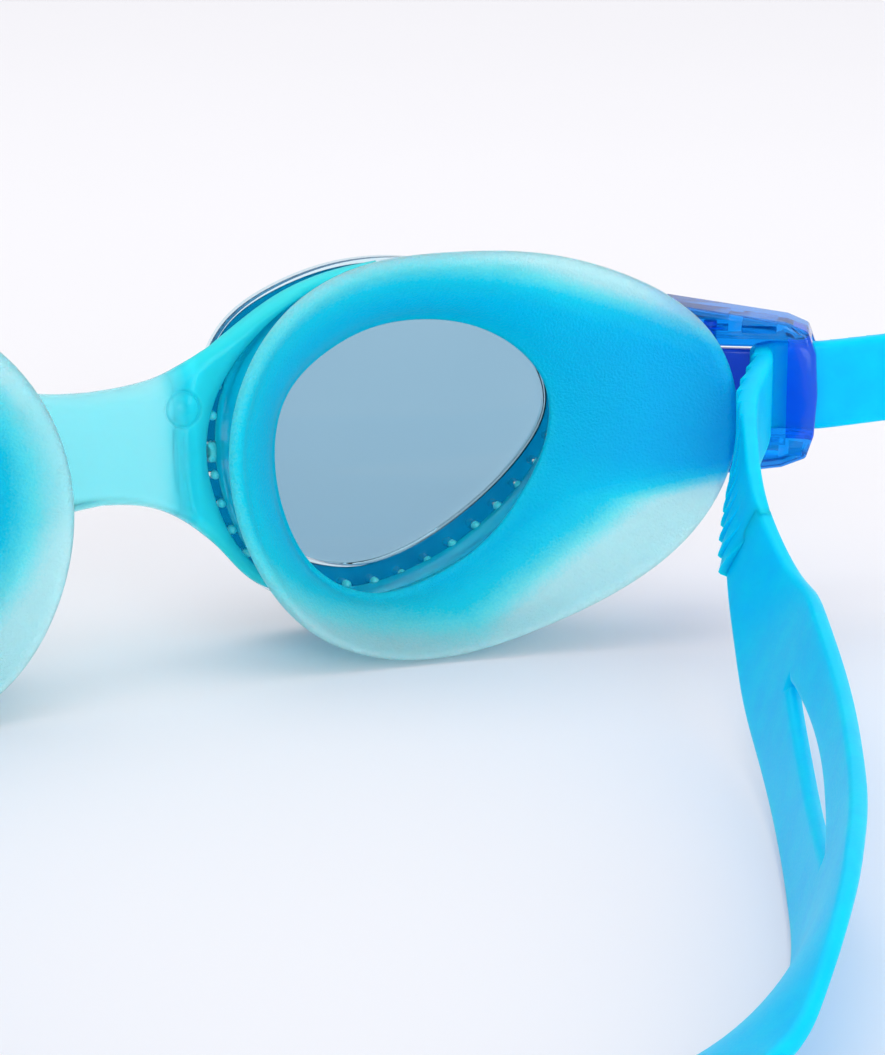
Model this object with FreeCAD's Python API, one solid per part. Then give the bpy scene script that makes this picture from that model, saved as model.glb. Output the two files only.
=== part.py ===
import FreeCAD, Part
import math
import os

from FreeCAD import Placement, Rotation, Vector

# Swim goggles lying on a table. Millimetres. X to the wearer's right, Y the way the
# wearer looks, Z up. The table is z = 0. Everything mirrors in x = 0 but the head strap,
# which is soft and lies to one side.

os.makedirs("parts", exist_ok=True)

# ---- placing -------------------------------------------------------------------------
BRIDGE_Y = 81.75         # the nose bridge's middle plane, so that the whole box is centred

# ---- lenses: two upright, slightly pitched cylinders that wrap back to the temples ----
WRAP_R = 100.0
WRAP_X = 17.0
WRAP_Y = -102.5
EYE_Z = 24.0
PITCH = 0.08
LENS_T = 1.8
CUP_DEPTH = 5.6

# ---- face seals ------------------------------------------------------------------------
RIM_T = 1.3
SEAL_T = 1.7
WALL_IN = 0.22           # cup wall, as a share of the way from the opening to the rim
WALL_OUT = 0.45
FACE_BULGE = 1.0

# ---- nose bridge: half width, back y, front y, bottom z, top z --------------------------
BRIDGE = [
    (0.0, -1.7, 1.8, 18.1, 31.5),
    (5.5, -1.9, 1.6, 17.4, 31.9),
    (9.5, -2.8, 0.8, 15.8, 33.0),
    (14.0, -4.3, -0.5, 12.4, 35.2),
]
# Its wings lie behind the lens flange, round the inner side of each eye cup, (x, z).
WING_TOP = [(12.0, 34.0), (17.7, 37.1), (23.5, 40.2), (29.9, 43.0)]
WING_IN = [
    (30.4, 42.4), (25.7, 40.6), (20.7, 37.1), (17.3, 33.6), (14.7, 29.2), (13.6, 24.0),
    (14.2, 18.0), (16.2, 12.9), (19.6, 8.6), (24.0, 5.8),
]
WING_LOW = [(23.4, 5.1), (19.0, 6.6), (15.6, 9.8), (12.0, 14.0)]
WING_DEPTH = 2.9

# ---- side clips, in their own frame: u rearward, v outward, z up, from the hinge pin -----
PIN_X = 64.0
PIN_Y = -13.6
CLIP_TURN = 35.0         # degrees the clip heads back from +X
CLIP_IN = -4.4
CLIP_OUT = 3.0
COVER_IN = 1.2
CLIP_SIDE = [
    (3.6, 18.1), (6.0, 17.3), (20.6, 19.4), (23.5, 20.6), (24.4, 23.4), (24.7, 28.4),
    (24.4, 33.4), (23.4, 36.2), (20.8, 37.3), (6.0, 39.3), (3.6, 38.3),
]
POCKET_U = (6.4, 21.0)
POCKET_Z = (22.3, 35.3)
BAR_OUT = -1.9
EAR_R = 3.1
EAR_LOW = (18.6, 22.3)
EAR_HIGH = (33.6, 37.4)
LUG_Z = (22.7, 33.2)
LUG_R = 2.8
PIN_R = 1.0
PIN_Z = (19.2, 36.8)
RUN = 0.05               # radial running clearance
WINDOW_U = (7.2, 19.8)
WINDOW_Z = (24.2, 33.2)
BUTTON_U = (8.1, 19.4)
BUTTON_V = (1.6, 3.3)
BUTTON_Z = (24.7, 32.7)
BUTTON_PIN = (11.5, -0.6)
BUTTON_PIN_R = 0.8

# ---- strap -------------------------------------------------------------------------------
STRAP_W = 10.8
STRAP_Z = 23.5
STRAP_T = 1.8
RIBBED_T = 2.6
RIBBED_LENGTH = 31.0
STRAP_GAP = 2.7          # strap left free between the swinging clip and the fixed loop
SLOT = (66.0, 114.0)     # where the split runs, measured from the clip
SLOT_MID = 0.54
SLOT_HALF = 1.8
TAIL_X = 104.5

# Lower edge (x, y, z) from the right clip, round the back, to the left clip, with the
# outward lean in degrees and the width.
ROUTE = [
    (76.3, -27.8, 23.5, 0.0, 10.8),
    (70.2, -35.0, 21.4, 2.0, 10.8),
    (63.4, -42.6, 17.9, 10.0, 10.8),
    (57.8, -50.2, 13.2, 20.0, 10.9),
    (53.6, -58.2, 8.2, 25.0, 12.6),
    (49.0, -67.4, 4.5, 22.0, 15.8),
    (43.8, -78.4, 2.3, 17.5, 18.0),
    (36.8, -92.1, 0.8, 18.0, 18.0),
    (24.9, -113.0, 0.0, 17.0, 18.0),
    (16.1, -126.3, 0.0, 17.0, 18.0),
    (6.3, -135.4, 0.0, 27.0, 18.0),
    (-5.0, -139.8, 0.0, 53.0, 18.0),
    (-21.0, -146.0, 0.0, 62.0, 18.0),
    (-41.0, -149.5, 0.0, 58.0, 18.0),
    (-59.0, -143.5, 0.0, 42.0, 18.0),
    (-70.5, -129.0, 0.0, 26.0, 18.0),
    (-76.5, -109.0, 0.2, 18.0, 18.0),
    (-78.8, -86.0, 1.4, 17.0, 18.0),
    (-79.1, -67.0, 4.2, 19.0, 16.2),
    (-78.2, -55.2, 9.2, 17.0, 12.6),
    (-76.9, -46.0, 15.4, 10.0, 10.9),
    (-75.6, -36.8, 21.5, 3.0, 10.8),
    (-76.3, -27.8, 23.5, 0.0, 10.8),
]

# ---- outlines seen from the front, (x, z), right eye ------------------------------------
RIM = [
    (69.6, 24.0), (68.2, 36.5), (58.4, 44.4), (47.7, 47.3), (38.0, 47.7), (28.5, 46.9),
    (19.1, 42.9), (12.1, 34.7), (9.6, 24.0), (12.1, 13.3), (18.6, 4.9), (28.2, 0.9),
    (38.0, 1.0), (46.6, 3.3), (55.1, 6.9), (63.8, 13.3),
]
OPENING = [
    (52.3, 24.0), (52.4, 30.0), (48.9, 34.9), (43.7, 37.7), (38.0, 38.6), (32.2, 38.0),
    (26.5, 35.5), (21.4, 30.9), (19.3, 24.0), (20.1, 16.6), (23.7, 9.7), (30.7, 6.3),
    (38.0, 7.9), (43.4, 11.0), (47.2, 14.8), (50.1, 19.0),
]
LENS_EDGE = [
    (17.4, 24.5), (18.6, 16.5), (23.0, 10.8), (28.6, 8.0), (33.0, 7.4), (38.8, 8.8),
    (46.0, 13.1), (53.0, 20.0), (56.0, 26.5), (54.0, 33.0), (47.5, 38.0), (38.5, 40.4),
    (29.5, 39.6), (22.0, 36.0), (18.6, 31.0),
]
FLANGE_EDGE = [
    (12.9, 24.0), (14.0, 14.8), (17.4, 8.6), (22.4, 4.7), (29.0, 3.0), (37.0, 3.3),
    (46.0, 6.9), (54.0, 13.3), (59.2, 21.0), (60.2, 28.0), (57.5, 36.0), (50.5, 41.6),
    (41.5, 44.4), (32.0, 44.4), (23.5, 42.0), (17.0, 38.0), (13.6, 31.5),
]
KEY_LINE = [
    (14.4, 24.0), (15.1, 17.6), (17.4, 11.8), (21.6, 7.4), (26.4, 5.5), (31.0, 5.2),
    (36.0, 5.4), (42.8, 8.2), (50.0, 13.8), (56.0, 21.0), (57.8, 28.0), (55.5, 35.0),
    (49.5, 39.9), (41.0, 42.5), (32.0, 42.4), (24.5, 40.3), (18.6, 36.6), (15.4, 31.0),
]
KEY_HOLES = 36
KEY_R = 0.6
STUD_R = 0.55

# ---- the soft bezel in front of the flange ------------------------------------------------
BEZEL_T = 0.75
BEZEL_EDGE = 1.35        # how far it stays inside the flange's edge
BEZEL_LENS = 0.45        # and outside the lens's


def rim_y(x, z):
    return -19.5 + 0.15 * (z - EYE_Z) - 13.0 * (max(0.0, x - 9.0) / 60.0) ** 2


def opening_y(x, z):
    return -10.0 + 0.12 * (z - EYE_Z) - 10.0 * (max(0.0, x - 14.0) / 46.0) ** 1.5


def wrap_y(x, z, grow=0.0):
    reach = math.sqrt((WRAP_R + grow) ** 2 - (x - WRAP_X) ** 2)
    return WRAP_Y + PITCH * (z - EYE_Z) + reach


def mix(a, b, t):
    return a + (b - a) * t


def closed_curve(points):
    curve = Part.BSplineCurve()
    curve.interpolate(Points=points, PeriodicFlag=True)
    return curve


def prism(outline):
    """An outline in X and Z, carried through the whole depth of the goggles."""
    points = [Vector(x, 10.0, z) for x, z in outline]
    edge = closed_curve(points).toShape()
    return Part.Face(Part.Wire([edge])).extrude(Vector(0, -60.0, 0))


def wrap_cylinder(grow):
    low = -40.0
    base = Vector(WRAP_X, WRAP_Y + PITCH * (low - EYE_Z), low)
    return Part.makeCylinder(WRAP_R + grow, 140.0, base, Vector(0, PITCH, 1.0))


def wrapped(outline, hole, outer, inner):
    """A curved sheet between two wrap radii, with an outline and perhaps a hole."""
    body = prism(outline)
    if hole:
        body = body.cut(prism(hole))
    return body.common(wrap_cylinder(outer)).cut(wrap_cylinder(inner))


def between(share):
    return [
        (mix(o[0], r[0], share), mix(o[1], r[1], share)) for o, r in zip(OPENING, RIM)
    ]


def ring_solid(rings):
    """A closed band skinned through closed loops, the last joined to the first."""
    edges = [closed_curve(ring).toShape() for ring in rings]
    faces = []
    for here, there in zip(edges, edges[1:] + edges[:1]):
        faces.append(Part.makeRuledSurface(here, there))
    shell = Part.makeCompound(faces)
    shell.sewShape()
    solid = Part.Solid(Part.Shell(shell.Faces))
    if solid.Volume < 0:
        solid.reverse()
    return solid


def seal_solid():
    wall_in = between(WALL_IN)
    wall_out = between(WALL_OUT)
    count = len(RIM)
    rings = [[] for _ in range(8)]
    for k in range(count):
        ox, oz = OPENING[k]
        rx, rz = RIM[k]
        mx, mz = mix(ox, rx, 0.55), mix(oz, rz, 0.55)
        ix, iz = wall_in[k]
        wx, wz = wall_out[k]
        oy, ry = opening_y(ox, oz), rim_y(rx, rz)
        my = mix(oy, ry, 0.55) - FACE_BULGE
        bx, bz = mix(ox, rx, 0.30), mix(oz, rz, 0.30)
        rings[0].append(Vector(ix, wrap_y(ix, iz, -CUP_DEPTH) + 0.2, iz))
        rings[1].append(Vector(ox, oy, oz))
        rings[2].append(Vector(mx, my, mz))
        rings[3].append(Vector(rx, ry, rz))
        rings[4].append(Vector(rx, ry + RIM_T, rz))
        rings[5].append(Vector(mx, my + SEAL_T, mz))
        rings[6].append(Vector(bx, mix(oy, ry, 0.30) + SEAL_T, bz))
        rings[7].append(Vector(wx, wrap_y(wx, wz, -CUP_DEPTH) + 0.2, wz))
    return ring_solid(rings)


def cup_solid():
    return wrapped(between(WALL_OUT), between(WALL_IN), -LENS_T / 2, -CUP_DEPTH)


def lens_solid():
    return wrapped(LENS_EDGE, None, LENS_T / 2, -LENS_T / 2)


def key_rods(radius):
    """Round rods along Y at every keying hole."""
    line = closed_curve([Vector(x, 0, z) for x, z in KEY_LINE])
    spots = line.discretize(Number=KEY_HOLES + 1)[:-1]
    rods = []
    for spot in spots:
        foot = Vector(spot.x, -40.0, spot.z)
        rods.append(Part.makeCylinder(radius, 60.0, foot, Vector(0, 1, 0)))
    return rods


def grown(outline, distance):
    """An outline moved outward, or inward if distance is negative."""
    curve = closed_curve([Vector(x, 0, z) for x, z in outline])
    middle = Vector(sum(x for x, z in outline), 0, sum(z for x, z in outline))
    middle = middle * (1.0 / len(outline))
    moved = []
    for x, z in outline:
        here = Vector(x, 0, z)
        along = curve.tangent(curve.parameter(here))[0]
        away = Vector(along.z, 0, -along.x)
        if away.dot(here - middle) < 0:
            away = away * -1.0
        spot = here + away * distance
        moved.append((spot.x, spot.z))
    return moved


def bezel_solid():
    """The clear gel bezel, with its studs standing in the flange's holes."""
    edge, hole = grown(FLANGE_EDGE, -BEZEL_EDGE), grown(LENS_EDGE, BEZEL_LENS)
    ring = wrapped(edge, hole, LENS_T / 2 + BEZEL_T, LENS_T / 2)
    for rod in key_rods(STUD_R):
        stud = rod.common(wrap_cylinder(LENS_T / 2 + BEZEL_T / 2))
        ring = ring.fuse(stud.cut(wrap_cylinder(-LENS_T / 2)))
    return ring


def box(u, v, z):
    size = (u[1] - u[0], v[1] - v[0], z[1] - z[0])
    return Part.makeBox(*size, Vector(u[0], v[0], z[0]))


def post(radius, z, u=0.0, v=0.0):
    return Part.makeCylinder(radius, z[1] - z[0], Vector(u, v, z[0]), Vector(0, 0, 1))


def on_clip(shape):
    turn = Rotation(Vector(0, 0, 1), -CLIP_TURN)
    shape.Placement = Placement(Vector(PIN_X, PIN_Y, 0), turn).multiply(shape.Placement)
    return shape


def clip_point(u, v, z=0.0):
    turn = Rotation(Vector(0, 0, 1), -CLIP_TURN)
    return Vector(PIN_X, PIN_Y, 0) + turn.multVec(Vector(u, v, z))


def flange_solid():
    flange = wrapped(FLANGE_EDGE, LENS_EDGE, LENS_T / 2, -LENS_T / 2)
    for rod in key_rods(KEY_R):
        flange = flange.cut(rod)
    tab = box((-7.0, 0.0), (-1.5, 1.5), LUG_Z)
    lug = tab.fuse(post(LUG_R, LUG_Z)).cut(post(PIN_R, (0.0, 60.0)))
    return flange.fuse(on_clip(lug).cut(prism(LENS_EDGE)))


def housing_solid():
    side = [Vector(u, CLIP_IN, z) for u, z in CLIP_SIDE]
    side.append(side[0])
    block = Part.Face(Part.makePolygon(side)).extrude(Vector(0, CLIP_OUT - CLIP_IN, 0))
    block = block.makeFillet(0.7, block.Edges)
    ears = None
    for z in (EAR_LOW, EAR_HIGH):
        ear = post(EAR_R, z).fuse(box((0.0, 5.0), (-EAR_R, 2.6), z))
        ears = ear if ears is None else ears.fuse(ear)
    block = block.fuse(ears)
    block = block.cut(box(POCKET_U, (CLIP_IN - 1.0, COVER_IN), POCKET_Z))
    block = block.cut(box((20.5, 30.0), (BAR_OUT, COVER_IN), (22.7, 35.1)))
    block = block.cut(box(WINDOW_U, (0.0, 5.0), WINDOW_Z))
    # square lightening pockets in the two rails
    for u, z in (((15.4, 19.6), (36.0, 37.0)), ((7.6, 13.8), (36.2, 37.6)),
                 ((16.8, 20.2), (20.5, 21.6)), ((7.6, 14.8), (19.4, 21.4)),
                 ((21.4, 23.0), (21.0, 22.0))):
        block = block.cut(box(u, (CLIP_IN - 1.0, 0.4), z))
    # the moulded spring leaf that the button presses on
    block = block.fuse(box((6.0, 9.2), (-0.1, 0.8), (26.5, 30.5)))
    block = block.cut(post(PIN_R + RUN, (10.0, 50.0)))
    pu, pv = BUTTON_PIN
    block = block.cut(post(BUTTON_PIN_R, (20.9, 36.7), pu, pv))
    return block.removeSplitter()


def button_solid():
    pu, pv = BUTTON_PIN
    plate = box(BUTTON_U, BUTTON_V, BUTTON_Z)
    plate = plate.makeFillet(0.5, plate.Edges)
    # finger grips across the pressed half
    for k in range(3):
        u = BUTTON_U[0] + 1.2 + 1.3 * k
        plate = plate.cut(box((u, u + 0.5), (BUTTON_V[1] - 0.35, 5.0), (26.0, 31.4)))
    barrel = post(1.9, (25.0, 32.4), pu, pv)
    web = box((pu - 1.2, pu + 1.2), (pv, BUTTON_V[0] + 0.4), (25.2, 32.2))
    pawl = box((18.2, 19.2), (0.95, BUTTON_V[0] + 0.3), (25.4, 32.0))
    lever = plate.fuse(barrel).fuse(web).fuse(pawl)
    return lever.cut(post(BUTTON_PIN_R + RUN, (20.0, 40.0), pu, pv)).removeSplitter()


def ribbon(path, thickness, low, high):
    """A flat strap standing on edge along a plan path."""
    left, right = [], []
    for k, here in enumerate(path):
        ahead = path[min(k + 1, len(path) - 1)] - path[max(k - 1, 0)]
        ahead.normalize()
        side = Vector(-ahead.y, ahead.x, 0) * (thickness / 2)
        left.append(here + side)
        right.append(here - side)
    outline = left + right[::-1]
    outline = [Vector(p.x, p.y, low) for p in outline]
    outline.append(outline[0])
    return Part.Face(Part.makePolygon(outline)).extrude(Vector(0, 0, high - low))


def strap_end_solid():
    """The strap's turn round the clip's rear bar and its free tail."""
    knots = [(18.1, -3.9), (17.9, -2.6), (18.1, -1.5), (18.8, -0.8), (19.8, -0.5),
             (21.5, -0.35), (23.6, -0.3), (25.0, 0.1), (26.4, 0.9)]
    path = [clip_point(u, v) for u, v in knots]
    last = path[-1]
    path.append(Vector(last.x + 4.0, last.y - 0.05, 0))
    path.append(Vector(TAIL_X, last.y - 0.05, 0))
    curve = Part.BSplineCurve()
    curve.interpolate(Points=path)
    smooth = curve.discretize(Number=60)
    return ribbon(smooth, 2.3, STRAP_Z, STRAP_Z + STRAP_W)


class StrapRoute:
    """The head strap's lower edge, with its lean and width along the way."""

    def __init__(self):
        self.line = Part.BSplineCurve()
        self.line.interpolate(Points=[Vector(*row[:3]) for row in ROUTE])
        self.at = [self.line.parameter(Vector(*row[:3])) for row in ROUTE]
        self.rows = ROUTE
        self.length = self.line.length()

    def slope(self, k, column):
        low, high = max(k - 1, 0), min(k + 1, len(self.at) - 1)
        rise = self.rows[high][column] - self.rows[low][column]
        return rise / (self.at[high] - self.at[low])

    def value(self, parameter, column):
        k = 0
        while k < len(self.at) - 2 and parameter > self.at[k + 1]:
            k += 1
        step = self.at[k + 1] - self.at[k]
        t = min(1.0, max(0.0, (parameter - self.at[k]) / step))
        start, end = self.rows[k][column], self.rows[k + 1][column]
        bend_in = step * self.slope(k, column) - (end - start)
        bend_out = (end - start) - step * self.slope(k + 1, column)
        return mix(start, end, t) + t * (1 - t) * mix(bend_in, bend_out, t)

    def frame(self, distance):
        parameter = self.line.parameterAtDistance(distance, self.line.FirstParameter)
        foot = self.line.value(parameter)
        ahead = self.line.tangent(parameter)[0]
        out = Vector(0, 0, 1).cross(ahead)
        out.normalize()
        up = ahead.cross(out)
        if up.z < 0:
            up = up * -1.0
        lean = math.radians(self.value(parameter, 3))
        across = out * math.sin(lean) + up * math.cos(lean)
        face = out * math.cos(lean) - up * math.sin(lean)
        return foot, across, face, self.value(parameter, 4)

    def section(self, distance, low, high, thickness):
        foot, across, face, width = self.frame(distance)
        lift = Vector(0, 0, abs(face.z) * STRAP_T / 2)
        a = foot + lift + across * (width * low)
        b = foot + lift + across * (width * high)
        half = face * (thickness / 2)
        return Part.makePolygon([a - half, b - half, b + half, a + half, a - half])


def head_strap_solid():
    route = StrapRoute()
    middle = route.length / 2
    start = STRAP_GAP
    marks = [start + (middle - start) * k / 26.0 for k in range(27)]
    marks += [route.length - m for m in marks[-2::-1]]
    sections = []
    for mark in marks:
        near_end = min(mark, route.length - mark)
        thickness = RIBBED_T if near_end < RIBBED_LENGTH else STRAP_T
        sections.append(route.section(mark, 0.0, 1.0, thickness))
    strap = Part.makeLoft(sections, True, True)
    for mirror in (False, True):
        cuts = []
        for k in range(13):
            mark = mix(SLOT[0], SLOT[1], k / 12.0)
            half = SLOT_HALF * math.sin(math.pi * k / 12.0) ** 0.7 + 0.02
            if mirror:
                mark = route.length - mark
            width = route.frame(mark)[3]
            low = SLOT_MID - half / width
            high = SLOT_MID + half / width
            cuts.append(route.section(mark, low, high, 6.0))
        strap = strap.cut(Part.makeLoft(cuts, True, True))
    return strap


def wing_solid():
    runs = []
    for points in (WING_TOP, WING_IN, WING_LOW):
        curve = Part.BSplineCurve()
        curve.interpolate(Points=[Vector(x, 10.0, z) for x, z in points])
        runs.append(curve)
    edges = []
    for here, there in zip(runs, runs[1:] + runs[:1]):
        edges.append(here.toShape())
        edges.append(Part.makeLine(here.EndPoint, there.StartPoint))
    outline = Part.Face(Part.Wire(edges)).extrude(Vector(0, -60.0, 0))
    return outline.common(wrap_cylinder(-LENS_T / 2)).cut(wrap_cylinder(-WING_DEPTH))


def bridge_solid():
    sections = []
    rows = [(-x, b, f, lo, hi) for x, b, f, lo, hi in BRIDGE[:0:-1]] + BRIDGE
    for x, back, front, low, high in rows:
        corners = [Vector(x, back, low), Vector(x, back, high),
                   Vector(x, front, high), Vector(x, front, low), Vector(x, back, low)]
        sections.append(Part.makePolygon(corners))
    bar = Part.makeLoft(sections, True, True)
    wing = wing_solid()
    return bar.fuse(wing).fuse(mirrored(wing))


def mirrored(shape):
    return shape.mirror(Vector(0, 0, 0), Vector(1, 0, 0))


def save(name, shape):
    placed = shape.copy()
    placed.translate(Vector(0, BRIDGE_Y, 0))
    placed.exportStep("parts/%s.step" % name)
    size = placed.BoundBox
    print(name, placed.ShapeType, placed.isValid(), round(placed.Volume, 1),
          [round(q, 2) for q in (size.XMin, size.XMax, size.YMin, size.YMax,
                                 size.ZMin, size.ZMax)])


def main():
    pu, pv = BUTTON_PIN
    sides = {
        "face_seal": seal_solid(),
        "eye_cup": cup_solid(),
        "lens": lens_solid(),
        "lens_flange": flange_solid(),
        "frame_bezel": bezel_solid(),
        "hinge_pin": on_clip(post(PIN_R, PIN_Z)),
        "clip_housing": on_clip(housing_solid()),
        "release_button": on_clip(button_solid()),
        "button_pin": on_clip(post(BUTTON_PIN_R, (20.9, 36.7), pu, pv)),
        "strap_end": strap_end_solid(),
    }
    for name, shape in sides.items():
        save(name + "_right", shape)
        save(name + "_left", mirrored(shape))
    save("nose_bridge", bridge_solid())
    save("head_strap", head_strap_solid())


main()
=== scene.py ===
import math

import bmesh
import bpy
import numpy as np
from mathutils import Matrix, Vector
from mathutils.geometry import delaunay_2d_cdt


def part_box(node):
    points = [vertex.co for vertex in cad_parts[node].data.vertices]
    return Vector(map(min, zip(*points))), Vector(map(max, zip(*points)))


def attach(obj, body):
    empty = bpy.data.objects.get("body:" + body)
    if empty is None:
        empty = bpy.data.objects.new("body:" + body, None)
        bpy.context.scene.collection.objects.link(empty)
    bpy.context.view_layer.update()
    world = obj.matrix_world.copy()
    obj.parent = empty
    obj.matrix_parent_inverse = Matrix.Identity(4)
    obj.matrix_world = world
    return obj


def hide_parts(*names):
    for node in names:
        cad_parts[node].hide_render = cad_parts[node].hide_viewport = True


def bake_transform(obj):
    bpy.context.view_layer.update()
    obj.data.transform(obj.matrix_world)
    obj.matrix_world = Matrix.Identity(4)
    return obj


# Swim goggles on a pale table. The frame's axes: X to the wearer's right, Y the way the
# wearer looks, Z up. Shapes are worked out in millimetres from the nose bridge's middle
# plane, as the CAD source does, and placed in metres by place().

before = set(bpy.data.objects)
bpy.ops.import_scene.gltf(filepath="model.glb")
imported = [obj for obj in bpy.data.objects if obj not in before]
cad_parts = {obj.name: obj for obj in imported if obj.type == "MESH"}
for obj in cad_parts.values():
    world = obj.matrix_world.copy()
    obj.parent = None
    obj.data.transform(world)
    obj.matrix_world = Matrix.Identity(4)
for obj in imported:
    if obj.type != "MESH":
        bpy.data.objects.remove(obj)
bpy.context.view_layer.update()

MM = 0.001

# ---- the CAD's driving sizes, repeated -------------------------------------------------
WRAP_R = 100.0
WRAP_X = 17.0
WRAP_Y = -102.5
EYE_Z = 24.0
PITCH = 0.08
HALF_LENS = 0.9
CUP_DEPTH = 5.6
WALL_IN = 0.22           # cup wall, as a share of the way from the opening to the rim
WALL_OUT = 0.45
RIM_Y = -19.5            # the seal's rim at the eye's height, near the nose
RIM_TILT = 0.15
RIM_WRAP = 13.0          # how far it falls back towards the temple
OPENING_Y = -10.0
OPENING_TILT = 0.12
OPENING_WRAP = 10.0
PIN_X = 64.0
PIN_Y = -13.6
CLIP_TURN = math.radians(35.0)
STRAP_Z = 23.5
STRAP_W = 10.8
STRAP_T = 1.8
TAIL_X = 104.4           # 0.1 inside the CAD's
SLOT = (66.0, 114.0)     # where the split runs, measured from the clip
SLOT_MID = 0.54
SLOT_HALF = 1.8
RIBBED_LENGTH = 31.0

# ---- sizes that only the visual pieces have --------------------------------------------
STUD_R = 0.54
TAB = (13.6, 16.0, 22.0, 24.6)     # low and high x, low and high z
TAB_CORNER = 0.5
TAB_BACK = -3.4
STEP_CENTRE = (38.0, 23.0)         # the bridge's edge step is an arc round the eye
STEP_RADIUS = 27.6
STEP_FRONT = 0.55
STEP_BACK = 0.25
BOSS = (10.4, 29.0)
BOSS_R = 2.1
BOSS_GROOVE = 0.4
RIB_PITCH = 2.7
RIB_RISE = 0.55
RIB_BASE = 0.5
BAND_LAP = 1.8                     # how far the plain band reaches under the ribbed end

# ---- outlines seen from the front, (x, z), right eye -----------------------------------
RIM = [
    (69.6, 24.0), (68.2, 36.5), (58.4, 44.4), (47.7, 47.3), (38.0, 47.7), (28.5, 46.9),
    (19.1, 42.9), (12.1, 34.7), (9.6, 24.0), (12.1, 13.3), (18.6, 4.9), (28.2, 0.9),
    (38.0, 1.0), (46.6, 3.3), (55.1, 6.9), (63.8, 13.3),
]
OPENING = [
    (52.3, 24.0), (52.4, 30.0), (48.9, 34.9), (43.7, 37.7), (38.0, 38.6), (32.2, 38.0),
    (26.5, 35.5), (21.4, 30.9), (19.3, 24.0), (20.1, 16.6), (23.7, 9.7), (30.7, 6.3),
    (38.0, 7.9), (43.4, 11.0), (47.2, 14.8), (50.1, 19.0),
]
LENS_EDGE = [
    (17.4, 24.5), (18.6, 16.5), (23.0, 10.8), (28.6, 8.0), (33.0, 7.4), (38.8, 8.8),
    (46.0, 13.1), (53.0, 20.0), (56.0, 26.5), (54.0, 33.0), (47.5, 38.0), (38.5, 40.4),
    (29.5, 39.6), (22.0, 36.0), (18.6, 31.0),
]
FLANGE_EDGE = [
    (12.9, 24.0), (14.0, 14.8), (17.4, 8.6), (22.4, 4.7), (29.0, 3.0), (37.0, 3.3),
    (46.0, 6.9), (54.0, 13.3), (59.2, 21.0), (60.2, 28.0), (57.5, 36.0), (50.5, 41.6),
    (41.5, 44.4), (32.0, 44.4), (23.5, 42.0), (17.0, 38.0), (13.6, 31.5),
]
KEY_LINE = [
    (14.4, 24.0), (15.1, 17.6), (17.4, 11.8), (21.6, 7.4), (26.4, 5.5), (31.0, 5.2),
    (36.0, 5.4), (42.8, 8.2), (50.0, 13.8), (56.0, 21.0), (57.8, 28.0), (55.5, 35.0),
    (49.5, 39.9), (41.0, 42.5), (32.0, 42.4), (24.5, 40.3), (18.6, 36.6), (15.4, 31.0),
]
KEY_HOLES = 36

# Lower edge (x, y, z) of the strap, from the right clip round the back to the left one,
# with its outward lean in degrees and its width.
ROUTE = [
    (76.3, -27.8, 23.5, 0.0, 10.8), (70.2, -35.0, 21.4, 2.0, 10.8),
    (63.4, -42.6, 17.9, 10.0, 10.8), (57.8, -50.2, 13.2, 20.0, 10.9),
    (53.6, -58.2, 8.2, 25.0, 12.6), (49.0, -67.4, 4.5, 22.0, 15.8),
    (43.8, -78.4, 2.3, 17.5, 18.0), (36.8, -92.1, 0.8, 18.0, 18.0),
    (24.9, -113.0, 0.0, 17.0, 18.0), (16.1, -126.3, 0.0, 17.0, 18.0),
    (6.3, -135.4, 0.0, 27.0, 18.0), (-5.0, -139.8, 0.0, 53.0, 18.0),
    (-21.0, -146.0, 0.0, 62.0, 18.0), (-41.0, -149.5, 0.0, 58.0, 18.0),
    (-59.0, -143.5, 0.0, 42.0, 18.0), (-70.5, -129.0, 0.0, 26.0, 18.0),
    (-76.5, -109.0, 0.2, 18.0, 18.0), (-78.8, -86.0, 1.4, 17.0, 18.0),
    (-79.1, -67.0, 4.2, 19.0, 16.2), (-78.2, -55.2, 9.2, 17.0, 12.6),
    (-76.9, -46.0, 15.4, 10.0, 10.9), (-75.6, -36.8, 21.5, 3.0, 10.8),
    (-76.3, -27.8, 23.5, 0.0, 10.8),
]
ROUTE_LEFT = [(-x, y, z, lean, w) for x, y, z, lean, w in ROUTE[::-1]]

pin_low, pin_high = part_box("hinge_pin_right")
BRIDGE_Y = (pin_low.y + pin_high.y) / 2.0 / MM - PIN_Y


# ---- small mathematics -----------------------------------------------------------------
def mix(a, b, t):
    return a + (b - a) * t


def ease(a, b, x):
    """0 below a, 1 above b, smooth between."""
    t = np.clip((x - a) / (b - a), 0.0, 1.0)
    return t * t * (3.0 - 2.0 * t)


def rim_y(x, z):
    outward = max(0.0, x - 9.0) / 60.0
    return RIM_Y + RIM_TILT * (z - EYE_Z) - RIM_WRAP * outward ** 2


def opening_y(x, z):
    outward = max(0.0, x - 14.0) / 46.0
    return OPENING_Y + OPENING_TILT * (z - EYE_Z) - OPENING_WRAP * outward ** 1.5


def wrap_y(x, z, grow=0.0):
    """The lens's middle cylinder, or one larger by grow."""
    reach = np.sqrt((WRAP_R + grow) ** 2 - (x - WRAP_X) ** 2)
    return WRAP_Y + PITCH * (z - EYE_Z) + reach


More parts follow.
